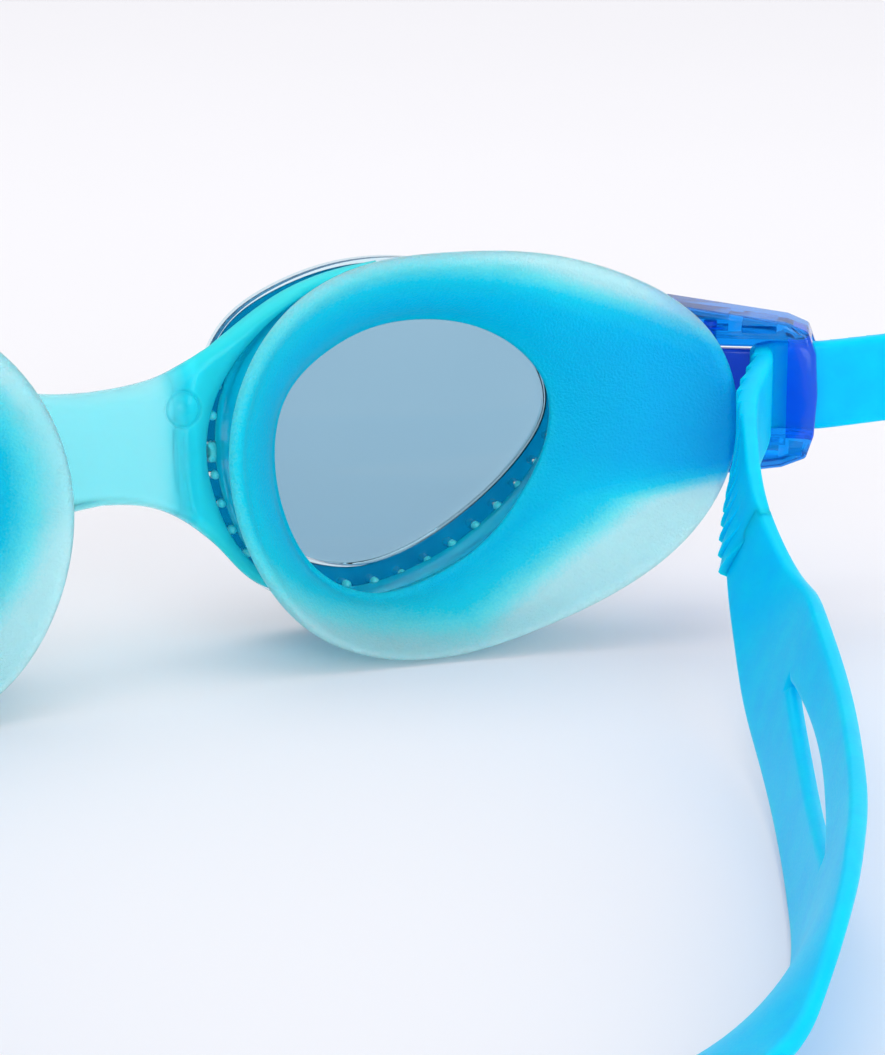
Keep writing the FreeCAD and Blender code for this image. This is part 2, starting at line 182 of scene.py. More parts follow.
class Curve:
    """A cubic spline through rows of numbers, its parameter the chord length."""

    def __init__(self, rows, closed=False, dims=3):
        p = np.array(rows, float)
        if closed:
            p = np.vstack([p, p[:1]])
        h = np.linalg.norm(np.diff(p[:, :dims], axis=0), axis=1)
        n = len(p)
        a = np.zeros((n, n))
        b = np.zeros(p.shape)
        for k in range(1, n - 1):
            a[k, k - 1:k + 2] = h[k - 1], 2.0 * (h[k - 1] + h[k]), h[k]
            b[k] = 6.0 * ((p[k + 1] - p[k]) / h[k] - (p[k] - p[k - 1]) / h[k - 1])
        if closed:
            a[0, 0], a[0, n - 1] = 1.0, -1.0
            a[n - 1, n - 2] = h[-1]
            a[n - 1, n - 1] = 2.0 * (h[-1] + h[0])
            a[n - 1, 1] = h[0]
            b[n - 1] = 6.0 * ((p[1] - p[0]) / h[0] - (p[-1] - p[-2]) / h[-1])
        else:
            a[0, 0] = a[n - 1, n - 1] = 1.0
        self.h, self.p = h, p
        self.t = np.concatenate([[0.0], np.cumsum(h)])
        self.m = np.linalg.solve(a, b)
        self.length = self.t[-1]

    def at(self, t):
        t = np.atleast_1d(np.asarray(t, float))
        k = np.clip(np.searchsorted(self.t, t, side="right") - 1, 0, len(self.h) - 1)
        h = self.h[k][:, None]
        a = (self.t[k + 1] - t)[:, None] / h
        b = 1.0 - a
        bend = (a ** 3 - a) * self.m[k] + (b ** 3 - b) * self.m[k + 1]
        return a * self.p[k] + b * self.p[k + 1] + bend * h * h / 6.0

    def even(self, count, dims=2):
        """That many points, equally far apart along a closed curve."""
        fine = self.at(np.linspace(0.0, self.length, 3000))
        run = np.linalg.norm(np.diff(fine[:, :dims], axis=0), axis=1)
        run = np.concatenate([[0.0], np.cumsum(run)])
        wanted = np.arange(count) * run[-1] / count
        return np.column_stack([np.interp(wanted, run, c) for c in fine.T])


def inset(loop, distance):
    """A closed loop in a plane, moved inward (positive) along its normals."""
    ahead = np.roll(loop, -1, axis=0) - np.roll(loop, 1, axis=0)
    ahead /= np.linalg.norm(ahead, axis=1)[:, None]
    left = np.column_stack([-ahead[:, 1], ahead[:, 0]])
    x, z = loop.T
    area = np.sum(x * np.roll(z, -1) - np.roll(x, -1) * z)
    return loop + left * distance * (1.0 if area > 0 else -1.0)


def inside(points, loop):
    """Which points lie inside a closed loop, by crossings."""
    hit = np.zeros(len(points), bool)
    x, z = points.T
    for (x0, z0), (x1, z1) in zip(loop, np.roll(loop, -1, axis=0)):
        if z0 == z1:
            continue
        spans = (z0 > z) != (z1 > z)
        hit ^= spans & (x < (x1 - x0) * (z - z0) / (z1 - z0) + x0)
    return hit


def to_loops(points, loops):
    """How far each point is from the nearest side of the loops."""
    best = np.full(len(points), 1e9)
    for loop in loops:
        start = np.asarray(loop)
        side = np.roll(start, -1, axis=0) - start
        size = np.maximum((side ** 2).sum(1), 1e-12)
        for k in range(len(start)):
            away = points - start[k]
            t = np.clip(away @ side[k] / size[k], 0.0, 1.0)
            best = np.minimum(best, np.hypot(*(away - t[:, None] * side[k]).T))
    return best


def round_edge(depth, radius):
    """A quarter circle's height, 0 at the edge and 1 from radius inward."""
    t = np.clip(depth / radius, 0.0, 1.0)
    return np.sqrt(np.maximum(0.0, 1.0 - (1.0 - t) ** 2))


# ---- meshes ----------------------------------------------------------------------------
GRID_CLEAR = 0.4         # share of the spacing that the grid keeps from other points
LINE_SHARE = 0.93        # a line's points nearer the edge than this have crossed over
EXTRA_CLEAR = 0.15       # gap from extra points to the edge
LINE_CLEAR = 0.12        # gap from lines to extra points
ON_EDGE = 1e-4


def place(points):
    """Millimetres from the bridge's middle plane, to metres in the frame."""
    return (np.asarray(points) + np.array([0.0, BRIDGE_Y, 0.0])) * MM


def flipped(points):
    return np.asarray(points) * np.array([-1.0, 1.0, 1.0])


def piece(name, points, faces, mirror=False, sharp=None):
    points = flipped(points) if mirror else np.asarray(points)
    if mirror:
        faces = [tuple(reversed(f)) for f in faces]
    mesh = bpy.data.meshes.new(name)
    mesh.from_pydata([tuple(p) for p in place(points)], [], [tuple(f) for f in faces])
    mesh.validate()
    shell = bmesh.new()
    shell.from_mesh(mesh)
    bmesh.ops.recalc_face_normals(shell, faces=shell.faces)
    shell.to_mesh(mesh)
    shell.free()
    mesh.shade_smooth()
    made = bpy.data.objects.new(name, mesh)
    bpy.context.scene.collection.objects.link(made)
    if sharp:
        mesh.set_sharp_from_angle(angle=math.radians(sharp))
    return made


def tube_faces(rows, columns, closed_rows=True):
    """Quads over a grid of rows, each a closed loop of columns."""
    faces = []
    last = rows if closed_rows else rows - 1
    for r in range(last):
        for c in range(columns):
            r1, c1 = (r + 1) % rows, (c + 1) % columns
            faces.append((r * columns + c, r * columns + c1,
                          r1 * columns + c1, r1 * columns + c))
    return faces


def around(controls, steps):
    """A closed smooth profile through control points, one column per place."""
    count = len(controls)
    rows = []
    for k in range(count):
        p0, p1, p2, p3 = (controls[(k + q) % count] for q in (-1, 0, 1, 2))
        for j in range(steps):
            t = j / steps
            rows.append(0.5 * (2 * p1 + (p2 - p0) * t
                               + (2 * p0 - 5 * p1 + 4 * p2 - p3) * t * t
                               + (3 * p1 - p0 - 3 * p2 + p3) * t ** 3))
    return np.array(rows)


def stations(ring, per_span):
    """A closed ring of stations made into a fine loop, aligned station by station."""
    curve = Curve(ring, closed=True)
    marks = [mix(a, b, f / per_span) for a, b in zip(curve.t[:-1], curve.t[1:])
             for f in range(per_span)]
    return curve.at(marks)


def ring_piece(name, rings, steps, per_span, mirror):
    controls = np.array([stations(ring, per_span) for ring in rings])
    rows = around(controls, steps)
    columns = rows.shape[1]
    return piece(name, rows.reshape(-1, 3), tube_faces(len(rows), columns), mirror)


def within(points, loops):
    """Which points lie inside the first loop and outside the others."""
    keep = inside(points, loops[0])
    for hole in loops[1:]:
        keep &= ~inside(points, hole)
    return keep


def apart(points, others):
    """How far each point is from the nearest of the others."""
    return np.linalg.norm(points[:, None] - others[None], axis=2).min(1)


def plate_points(loops, lines, spacing, extra):
    """A plate's flat points: its loops, lines beside them, extra points and a grid."""
    low, high = loops[0].min(0), loops[0].max(0)
    across = [np.arange(a + spacing / 2, b, spacing) for a, b in zip(low, high)]
    grid = np.array([(a + (k % 2) * spacing / 2, b) for k, b in enumerate(across[1])
                     for a in across[0]])
    grid = grid[within(grid, loops)]
    grid = grid[to_loops(grid, loops) > max(lines) + spacing * GRID_CLEAR]
    beside = np.vstack([inset(loop, depth if k == 0 else -depth)
                        for depth in lines for k, loop in enumerate(loops)])
    wanted = np.repeat(np.array(lines), sum(len(loop) for loop in loops))
    beside = beside[to_loops(beside, loops) > wanted * LINE_SHARE]
    if extra is not None:
        extra = extra[inside(extra, loops[0])]
        extra = extra[to_loops(extra, loops) > EXTRA_CLEAR]
        grid = grid[apart(grid, extra) > spacing * GRID_CLEAR]
        beside = np.vstack([beside[apart(beside, extra) > LINE_CLEAR], extra])
    return np.vstack([np.vstack(loops), beside, grid])


def plate(name, loops, lines, spacing, lift, mirror=False, extra=None):
    """A soft-edged plate: an outline with holes, meshed flat and lifted to two faces.

    lift(points, depth) gives the two faces' places for points at that depth inside
    the outline; at depth 0 both faces meet.
    """
    flat = plate_points(loops, lines, spacing, extra)
    edges, start = [], 0
    for loop in loops:
        n = len(loop)
        edges += [(start + k, start + (k + 1) % n) for k in range(n)]
        start += n
    out = delaunay_2d_cdt([Vector(p) for p in flat], edges, [], 0, 1e-6)
    flat = np.array([(p.x, p.y) for p in out[0]])
    triangles = np.array(out[2])
    triangles = triangles[within(flat[triangles].mean(1), loops)]
    depth = to_loops(flat, loops)
    depth[depth < ON_EDGE] = 0.0
    top, under = lift(flat, depth)
    edge = depth == 0.0
    top[edge] = under[edge] = (top[edge] + under[edge]) / 2.0
    # the two faces share their points along the edge
    count = len(flat)
    remap = np.arange(count) + count
    remap[edge] = np.arange(count)[edge]
    faces = [tuple(t) for t in triangles]
    faces += [tuple(remap[t][::-1]) for t in triangles]
    points = np.vstack([top, under])
    used = np.unique(np.array(faces))
    order = np.full(len(points), -1)
    order[used] = np.arange(len(used))
    faces = [tuple(order[list(f)]) for f in faces]
    return piece(name, points[used], faces, mirror)


# ---- colours and materials -------------------------------------------------------------
def colour(red, green, blue):
    """A screen colour, 0 to 255, as the linear colour that the shader takes."""
    out = []
    for value in (red, green, blue):
        c = value / 255.0
        out.append(c / 12.92 if c <= 0.04045 else ((c + 0.055) / 1.055) ** 2.4)
    return (*out, 1.0)


def grey(value):
    return (value, value, value, 1.0)


class Finish:
    """A material: one Principled shader with helpers for the nodes that feed it."""

    def __init__(self, name, **values):
        self.mat = bpy.data.materials.new(name)
        self.mat.use_nodes = True
        self.tree = self.mat.node_tree
        self.shader = self.tree.nodes["Principled BSDF"]
        self.output = self.tree.nodes["Material Output"]
        for key, value in values.items():
            self.shader.inputs[key.replace("_", " ")].default_value = value
        self.where = self.node("ShaderNodeTexCoord").outputs["Object"]

    def node(self, kind, **settings):
        made = self.tree.nodes.new(kind)
        for key, value in settings.items():
            setattr(made, key, value)
        return made

    def link(self, start, end):
        self.tree.links.new(start, end)

    def noise(self, scale, detail=2.0, rough=0.5):
        made = self.node("ShaderNodeTexNoise")
        made.inputs["Scale"].default_value = scale
        made.inputs["Detail"].default_value = detail
        made.inputs["Roughness"].default_value = rough
        self.link(self.where, made.inputs["Vector"])
        return made.outputs["Fac"]

    def ramp(self, source, *stops):
        made = self.node("ShaderNodeValToRGB")
        bar = made.color_ramp
        bar.elements[0].position, bar.elements[0].color = stops[0]
        bar.elements[1].position, bar.elements[1].color = stops[-1]
        for at, tint in stops[1:-1]:
            bar.elements.new(at).color = tint
        self.link(source, made.inputs["Fac"])
        return made.outputs["Color"]

    def spread(self, source, low, high):
        made = self.node("ShaderNodeMapRange")
        made.inputs["To Min"].default_value = low
        made.inputs["To Max"].default_value = high
        self.link(source, made.inputs["Value"])
        return made.outputs["Result"]

    def blend(self, a, b, factor):
        made = self.node("ShaderNodeMix", data_type="RGBA")
        self.link(factor, made.inputs["Factor"])
        for value, socket in ((a, made.inputs["A"]), (b, made.inputs["B"])):
            if isinstance(value, tuple):
                socket.default_value = value
            else:
                self.link(value, socket)
        return made.outputs["Result"]

    def bump(self, source, strength, distance):
        made = self.node("ShaderNodeBump")
        made.inputs["Strength"].default_value = strength
        made.inputs["Distance"].default_value = distance
        self.link(source, made.inputs["Height"])
        return made.outputs["Normal"]

    def math(self, kind, a, b=None):
        made = self.node("ShaderNodeMath", operation=kind)
        for value, socket in zip((a, b), made.inputs):
            if isinstance(value, (int, float)):
                socket.default_value = value
            elif value is not None:
                self.link(value, socket)
        return made.outputs[0]

    def add(self, a, b):
        return self.math("ADD", a, b)

    def minus(self, a, b):
        return self.math("SUBTRACT", a, b)

    def times(self, a, b):
        return self.math("MULTIPLY", a, b)

    def split(self, source):
        made = self.node("ShaderNodeSeparateXYZ")
        self.link(source, made.inputs[0])
        return made.outputs

    def to(self, source, name):
        self.link(source, self.shader.inputs[name])

    def absorb(self, tint, density):
        made = self.node("ShaderNodeVolumeAbsorption")
        made.inputs["Color"].default_value = tint
        made.inputs["Density"].default_value = density
        self.link(made.outputs["Volume"], self.output.inputs["Volume"])


# The seal in its material's coordinates, in metres: middle and half sizes of one eye.
SEAL_X = 0.039
SEAL_HALF_X = 0.0305
SEAL_HALF_Z = 0.0235


def frosted_gel():
    """Satin silicone: saturated where the eye cup stands behind it, pale at the thin rim;
    the paleness is partly the thin gel and partly painted light shining through from
    behind.

    lengths grows outward from the eye's middle and is about 1 at the rim.
    """
    f = Finish("frosted_gel", Transmission_Weight=0.4, IOR=1.25,
               Specular_IOR_Level=0.4, Subsurface_Weight=1.0,
               Subsurface_Radius=(0.4, 0.9, 1.0), Subsurface_Scale=0.0022)
    x, _, z = f.split(f.where)
    across = f.math("DIVIDE", f.minus(f.math("ABSOLUTE", x), SEAL_X), SEAL_HALF_X)
    upward = f.math("DIVIDE", f.minus(z, SEAL_HALF_Z), SEAL_HALF_Z)
    lengths = f.add(f.times(across, across), f.times(upward, upward))
    # painted light: the lower part beside the temple is painted paler, partly for the thin
    # membrane further in and partly for light from the table shining through and off it
    low = f.math("MAXIMUM", f.times(upward, -1.0), 0.0)
    temple = f.math("MAXIMUM", across, 0.0)
    lengths = f.add(lengths, f.times(f.times(temple, low), 1.5))
    # painted: beside the temple the blue clip stands close behind, and its blue seen
    # through the gel is painted in deeper
    height = f.add(f.times(upward, 0.5), 0.5)
    beside = f.ramp(height, (0.37, grey(0.0)), (0.47, grey(1.0)), (0.74, grey(1.0)),
                    (0.93, grey(0.0)))
    beside = f.times(beside, temple)
    lengths = f.minus(lengths, f.times(beside, 0.55))
    # painted light: towards the nose the left seal is painted paler and the right one
    # deeper, as the two seals are lit differently
    nasal = f.math("MAXIMUM", f.times(across, -1.0), 0.0)
    share = f.minus(f.times(f.math("LESS_THAN", x, 0.0), 0.34), 0.14)
    lengths = f.add(lengths, f.times(nasal, share))
    # a little deeper at the top, and paler at the temple
    lengths = f.minus(lengths, f.times(upward, 0.1))
    lengths = f.add(lengths, f.times(across, 0.06))
    mottle = f.noise(300.0, 3.0)
    lengths = f.add(lengths, f.times(mottle, 0.05))
    peel = f.noise(3200.0, 2.0, 0.6)
    lengths = f.add(lengths, f.times(peel, 0.12))
    lengths = f.minus(lengths, 0.03)
    tint = f.ramp(lengths, (0.56, colour(0, 216, 255)), (0.74, colour(24, 226, 255)),
                  (0.87, colour(130, 244, 255)), (1.0, colour(205, 252, 255)))
    # painted: the clip's blue seen through the gel, mixed into the seal's colour
    through = f.times(f.times(beside, temple), 0.42)
    f.to(f.blend(tint, colour(0, 140, 255), through), "Base Color")
    f.to(f.ramp(lengths, (0.6, grey(0.3)), (0.85, grey(0.44)), (1.0, grey(0.62))),
         "Transmission Weight")
    f.to(f.spread(peel, 0.3, 0.42), "Roughness")
    f.to(f.bump(peel, 0.8, 0.0003), "Normal")
    return f.mat


def cup_gel():
    """The eye cup's thick wall, bright cyan with a soft gloss."""
    f = Finish("cup_gel", Transmission_Weight=0.45, IOR=1.3, Specular_IOR_Level=0.5,
               Subsurface_Weight=1.0, Subsurface_Radius=(0.4, 0.9, 1.0),
               Subsurface_Scale=0.0015)
    f.to(f.ramp(f.noise(200.0, 2.0), (0.3, colour(0, 214, 252)),
                (0.7, colour(20, 228, 255))), "Base Color")
    f.to(f.spread(f.noise(900.0, 2.0), 0.1, 0.22), "Roughness")
    f.to(f.bump(f.noise(300.0, 1.0), 0.12, 0.0002), "Normal")
    return f.mat


def bridge_gel():
    """Pale across the thin bar and deeper in the wings, where the gel is thick."""
    f = Finish("bridge_gel", Transmission_Weight=0.8, IOR=1.25, Roughness=0.2,
               Specular_IOR_Level=0.4, Subsurface_Weight=1.0,
               Subsurface_Radius=(0.4, 0.9, 1.0), Subsurface_Scale=0.0015)
    x, _, _ = f.split(f.where)
    # out is 1 at 20 mm from the middle
    out = f.times(f.math("ABSOLUTE", x), 50.0)
    out = f.add(out, f.times(f.noise(160.0, 2.0), 0.06))
    f.to(f.ramp(out, (0.44, colour(186, 250, 255)), (0.53, colour(120, 244, 255)),
                (0.58, colour(56, 236, 255)), (0.72, colour(60, 242, 255))), "Base Color")
    f.to(f.ramp(out, (0.5, grey(0.82)), (0.62, grey(0.3))), "Transmission Weight")
    f.to(f.spread(f.noise(900.0, 2.0), 0.16, 0.26), "Roughness")
    f.to(f.bump(f.noise(300.0, 1.0), 0.12, 0.0002), "Normal")
    f.absorb((0.0, 0.95, 0.99, 1.0), 110.0)
    return f.mat


def deep_shaded_gel():
    """The same gel where it is thick in front of the flange, painted darker as painted
    shade for the groove there.
    """
    f = Finish("deep_shaded_gel", Transmission_Weight=0.75, IOR=1.3, Specular_IOR_Level=0.4,
               Subsurface_Weight=1.0, Subsurface_Radius=(0.4, 0.9, 1.0),
               Subsurface_Scale=0.002)
    f.to(f.ramp(f.noise(240.0, 2.0), (0.3, colour(0, 142, 190)),
                (0.7, colour(0, 162, 208))), "Base Color")
    f.to(f.spread(f.noise(900.0, 2.0), 0.14, 0.26), "Roughness")
    f.to(f.bump(f.noise(420.0, 1.0), 0.12, 0.0002), "Normal")
    return f.mat


def stud_gel():
    """The gel's small keys, painted pale as a painted highlight where they catch the light
    in the flange's holes.
    """
    f = Finish("stud_gel", Transmission_Weight=0.1, IOR=1.41, Subsurface_Weight=1.0,
               Subsurface_Radius=(0.4, 0.9, 1.0), Subsurface_Scale=0.001)
    f.to(f.ramp(f.noise(500.0, 2.0), (0.3, colour(70, 232, 255)),
                (0.7, colour(110, 242, 255))), "Base Color")
    f.to(f.spread(f.noise(1200.0, 2.0), 0.2, 0.35), "Roughness")
    return f.mat


def tinted_lens():
    """Blue-grey clear plastic; its low index keeps its edge from turning black."""
    f = Finish("tinted_lens", Transmission_Weight=1.0, IOR=1.2, Roughness=0.015)
    f.to(f.ramp(f.noise(40.0, 1.0), (0.3, colour(146, 187, 208)),
                (0.7, colour(151, 191, 211))), "Base Color")
    f.to(f.spread(f.noise(120.0, 2.0), 0.01, 0.03), "Roughness")
    return f.mat


def flange_plastic():
    """Almost clear plastic, slightly hazy, which shows the gel bezel in front of it."""
    f = Finish("flange_plastic", Transmission_Weight=1.0, IOR=1.2, Roughness=0.12)
    f.to(f.ramp(f.noise(90.0, 1.0), (0.3, colour(214, 240, 246)),
                (0.7, colour(226, 245, 250))), "Base Color")
    f.to(f.bump(f.noise(260.0, 1.0), 0.1, 0.0002), "Normal")
    return f.mat


def clip_plastic():
    """Glossy transparent cobalt, deeper with each wall that is seen through."""
    f = Finish("clip_plastic", Transmission_Weight=0.9, IOR=1.36, Roughness=0.07)
    f.to(f.ramp(f.noise(140.0, 2.0), (0.3, colour(10, 146, 253)),
                (0.7, colour(26, 162, 255))), "Base Color")
    f.to(f.spread(f.noise(1400.0, 3.0), 0.04, 0.16), "Roughness")
    f.to(f.bump(f.noise(1800.0, 2.0), 0.08, 0.0001), "Normal")
    return f.mat


def button_plastic():
    """The lever's cobalt plastic, less clear than the housing."""
    f = Finish("button_plastic", Transmission_Weight=0.6, IOR=1.5, Roughness=0.2)
    f.to(f.ramp(f.noise(140.0, 2.0), (0.3, colour(30, 80, 226)),
                (0.7, colour(48, 98, 238))), "Base Color")
    f.to(f.bump(f.noise(2600.0, 2.0), 0.15, 0.0001), "Normal")
    return f.mat


def pin_plastic():
    f = Finish("pin_plastic", Transmission_Weight=0.7, IOR=1.5, Roughness=0.15)
    f.to(f.ramp(f.noise(300.0, 2.0), (0.3, colour(70, 130, 245)),
                (0.7, colour(96, 150, 250))), "Base Color")
    f.to(f.bump(f.noise(2000.0, 2.0), 0.1, 0.0001), "Normal")
    return f.mat


def strap_silicone():
    """Almost opaque sky-blue silicone with a matt skin."""
    f = Finish("strap_silicone", Transmission_Weight=0.1, IOR=1.3,
               Specular_IOR_Level=0.16, Subsurface_Weight=1.0,
               Subsurface_Radius=(0.3, 0.9, 1.0), Subsurface_Scale=0.003)
    f.to(f.ramp(f.noise(220.0, 2.0), (0.3, colour(0, 192, 255)),
                (0.7, colour(0, 202, 255))), "Base Color")
    skin = f.noise(3400.0, 3.0)
    f.to(f.spread(skin, 0.3, 0.5), "Roughness")
    f.to(f.bump(skin, 0.12, 0.00008), "Normal")
    return f.mat


FINISH = {make.__name__: make() for make in (
    frosted_gel, cup_gel, bridge_gel, deep_shaded_gel, stud_gel, tinted_lens, flange_plastic,
    clip_plastic, button_plastic, pin_plastic, strap_silicone)}


def dress(made, finish):
    made.data.materials.clear()
    made.data.materials.append(FINISH[finish])


# ---- face seals, eye cups, bezels and lenses -------------------------------------------
def station(k, share):
    """(x, z) at a share of the way from the opening's point k to the rim's."""
    ox, oz = OPENING[k]
    rx, rz = RIM[k]
    return mix(ox, rx, share), mix(oz, rz, share)


def seal_rings():
    """Control loops round the frosted seal, from the cup wall, over the lip and the
    face side to the rolled rim, and back along the front side."""
    rings = []
    for k in range(len(RIM)):
        ox, oz = OPENING[k]
        rx, rz = RIM[k]
        oy, ry = opening_y(ox, oz), rim_y(rx, rz)
        band = math.hypot(rx - ox, rz - oz)
        lip = min(0.7 / band, 0.12)
        roll = min(2.6 / band, 0.26)
        ix, iz = station(k, WALL_IN)
        wx, wz = station(k, WALL_OUT)
        foot_in = wrap_y(ix, iz, -CUP_DEPTH) + 0.15
        foot_out = wrap_y(wx, wz, -CUP_DEPTH) + 0.15

        def line(share):
            return mix(oy, ry, share)

        profile = [
            (WALL_IN, foot_in),
            (WALL_IN * 0.93, mix(foot_in, oy, 0.25)),
            (WALL_IN * 0.55, mix(foot_in, oy, 0.62)),
            (lip * 0.35, oy + 0.75),
            (0.0, oy + 0.05),
            (lip, oy - 0.65),
            (0.22, line(0.22) - 0.85),
            (0.40, line(0.40) - 1.1),
            (0.58, line(0.58) - 1.15),
            (1.0 - roll, line(1.0 - roll) - 1.0),
            (1.0 - roll * 0.55, mix(line(1.0 - roll * 0.55) - 0.7, ry - 0.2, 0.6)),
            (1.0 - roll * 0.2, ry),
            (1.0, ry + 0.7),
            (1.0 - roll * 0.25, ry + 1.3),
            (1.0 - roll * 0.8, mix(line(1.0 - roll * 0.8) + 0.7, ry + 1.5, 0.4)),
            (0.62, line(0.62) + 0.55),
            (0.52, line(0.52) + 0.9),
            (0.465, mix(line(0.46) + 0.6, foot_out, 0.35)),
            (WALL_OUT, mix(line(0.45), foot_out, 0.7)),
            (WALL_OUT, foot_out),
            (mix(WALL_OUT, WALL_IN, 0.5), mix(foot_in, foot_out, 0.5)),
        ]
        spots = [station(k, share) for share, _ in profile]
        rings.append([(x, y, z) for (x, z), (_, y) in zip(spots, profile)])
    return [list(ring) for ring in zip(*rings)]


def cup_rings():
    """Control loops round the clear cup wall between the flange and the seal."""
    rings = []
    # share of the way to the rim, distance behind the lens's middle
    profile = [
        (WALL_IN, -CUP_DEPTH + 0.25), (WALL_IN, -3.4), (WALL_IN, -1.3),
        (WALL_IN + 0.02, -0.95), (0.33, -0.95), (WALL_OUT + 0.02, -0.95),
        (WALL_OUT + 0.03, -1.3), (WALL_OUT, -2.0), (WALL_OUT, -3.6),
        (WALL_OUT, -CUP_DEPTH + 0.25), (WALL_OUT - 0.02, -CUP_DEPTH + 0.08),
        (0.33, -CUP_DEPTH + 0.08), (WALL_IN + 0.02, -CUP_DEPTH + 0.08),
    ]
    for share, depth in profile:
        ring = []
        for k in range(len(RIM)):
            x, z = station(k, share)
            ring.append((x, float(wrap_y(x, z, depth)), z))
        rings.append(ring)
    return rings


def bezel(side, mirror):
    """The thin gel bezel in front of the flange, and its studs through the holes."""
    outer = inset(Curve(FLANGE_EDGE, closed=True, dims=2).even(260), 0.7)
    inner = inset(Curve(LENS_EDGE, closed=True, dims=2).even(220), -0.45)

    def lift(flat, depth):
        x, z = flat.T
        crown = 0.75 * round_edge(depth, 0.7)
        front = np.column_stack([x, wrap_y(x, z, HALF_LENS + 0.03) + crown, z])
        back = np.column_stack([x, wrap_y(x, z, HALF_LENS + 0.03), z])
        return front, back

    skin = plate("bezel_gel_" + side, [outer, inner], (0.12, 0.3, 0.6), 0.7, lift,
                 mirror)
    # painted shade: the bezel takes the gel painted darker for the shade of the groove
    # beside the seal rim
    dress(skin, "deep_shaded_gel")
    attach(skin, "goggles")
    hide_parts("frame_bezel_" + side)
    points, faces = [], []
    turns = 16
    # radius and place along the stud, from its domed tip behind the flange
    profile = [(0.0, -1.35), (0.26, -1.3), (0.46, -1.12), (STUD_R, -0.85),
               (STUD_R, 0.0), (STUD_R, HALF_LENS)]
    rows = len(profile)
    for x, z in Curve(KEY_LINE, closed=True, dims=2).even(KEY_HOLES):
        base = len(points)
        for radius, grow in profile:
            for k in range(turns):
                angle = 2.0 * math.pi * k / turns
                px, pz = x + radius * math.cos(angle), z + radius * math.sin(angle)
                points.append((px, float(wrap_y(x, z, grow)), pz))
        faces += [tuple(base + q for q in f) for f in tube_faces(rows, turns, False)]
        faces.append(tuple(base + (rows - 1) * turns + k for k in range(turns)))
    studs = piece("key_studs_" + side, points, faces, mirror, sharp=50)
    dress(studs, "stud_gel")
    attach(studs, "goggles")


def tab(side, mirror):
    """The small square key between the cup and the wing, standing on the flange."""
    x0, x1, z0, z1 = TAB
    loop = []
    for cx, cz, turn in ((x1, z1, 0), (x0, z1, 1), (x0, z0, 2), (x1, z0, 3)):
        ix = cx - TAB_CORNER * (1.0 if cx == x1 else -1.0)
        iz = cz - TAB_CORNER * (1.0 if cz == z1 else -1.0)
        for t in np.linspace(0.0, 0.5 * math.pi, 6):
            angle = turn * 0.5 * math.pi + t
            loop.append((ix + TAB_CORNER * math.cos(angle),
                         iz + TAB_CORNER * math.sin(angle)))

    def lift(flat, depth):
        x, z = flat.T
        foot = wrap_y(x, z, -HALF_LENS) - 0.03
        top = np.full(len(x), TAB_BACK) - 0.5 * round_edge(depth, 0.4)
        return np.column_stack([x, foot, z]), np.column_stack([x, top, z])

    made = plate("locating_tab_" + side, [np.array(loop)], (0.08, 0.2, 0.4), 0.35, lift,
                 mirror)
    dress(made, "stud_gel")
    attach(made, "goggles")


def lens_pane(side, mirror):
    """The clear tinted lens, its edge softly rounded where it sits in the flange."""
    outline = inset(Curve(LENS_EDGE, closed=True, dims=2).even(240), 0.12)

    def lift(flat, depth):
        x, z = flat.T
        middle = wrap_y(x, z)
        half = (HALF_LENS + 0.05) * (0.6 + 0.4 * round_edge(depth, 0.45))
        return (np.column_stack([x, middle + half, z]),
                np.column_stack([x, middle - half, z]))

    made = plate("lens_pane_" + side, [outline], (0.06, 0.16, 0.3, 0.5), 0.8, lift,
                 mirror)
    dress(made, "tinted_lens")
    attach(made, "goggles")
    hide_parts("lens_" + side)


def eye(side, mirror):
    seal = ring_piece("face_seal_gel_" + side, seal_rings(), 4, 14, mirror)
    dress(seal, "frosted_gel")
    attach(seal, "goggles")
    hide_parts("face_seal_" + side)
    cup = ring_piece("eye_cup_gel_" + side, cup_rings(), 3, 12, mirror)
    dress(cup, "cup_gel")
    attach(cup, "goggles")
    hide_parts("eye_cup_" + side)
    bezel(side, mirror)
    tab(side, mirror)
    lens_pane(side, mirror)


# ---- nose bridge -----------------------------------------------------------------------
# Right half of the bridge's outline, from the top middle out round the upper wing, back
# along the groove beside the eye cup, round the lower wing to the bottom middle.
BRIDGE_TOP = [(0.0, 31.5), (5.5, 31.9), (9.5, 33.0), (13.2, 35.2), (17.2, 37.8),
              (23.2, 41.3), (30.2, 43.7), (36.0, 44.6)]
WING_IN = [(36.2, 43.7), (30.4, 42.6), (25.7, 40.6), (20.7, 37.1), (17.3, 33.6),
           (14.7, 29.2), (13.6, 24.0), (14.2, 18.0), (16.2, 12.9), (19.6, 8.6),
           (24.0, 5.8)]
BRIDGE_LOW = [(23.2, 4.9), (18.6, 7.2), (15.0, 11.0), (12.2, 13.9), (9.3, 15.9),
              (5.5, 17.4), (0.0, 18.1)]
# Its back and front faces, (x, y), before they meet the flange.
BRIDGE_BACK = [(0.0, -1.7), (5.5, -1.9), (9.5, -2.8), (13.0, -4.0), (16.5, -4.7),
               (20.0, -5.0), (30.0, -5.6)]
BRIDGE_FRONT = [(0.0, 1.8), (5.5, 1.6), (9.5, 0.8), (13.0, -0.3), (16.5, -0.9)]


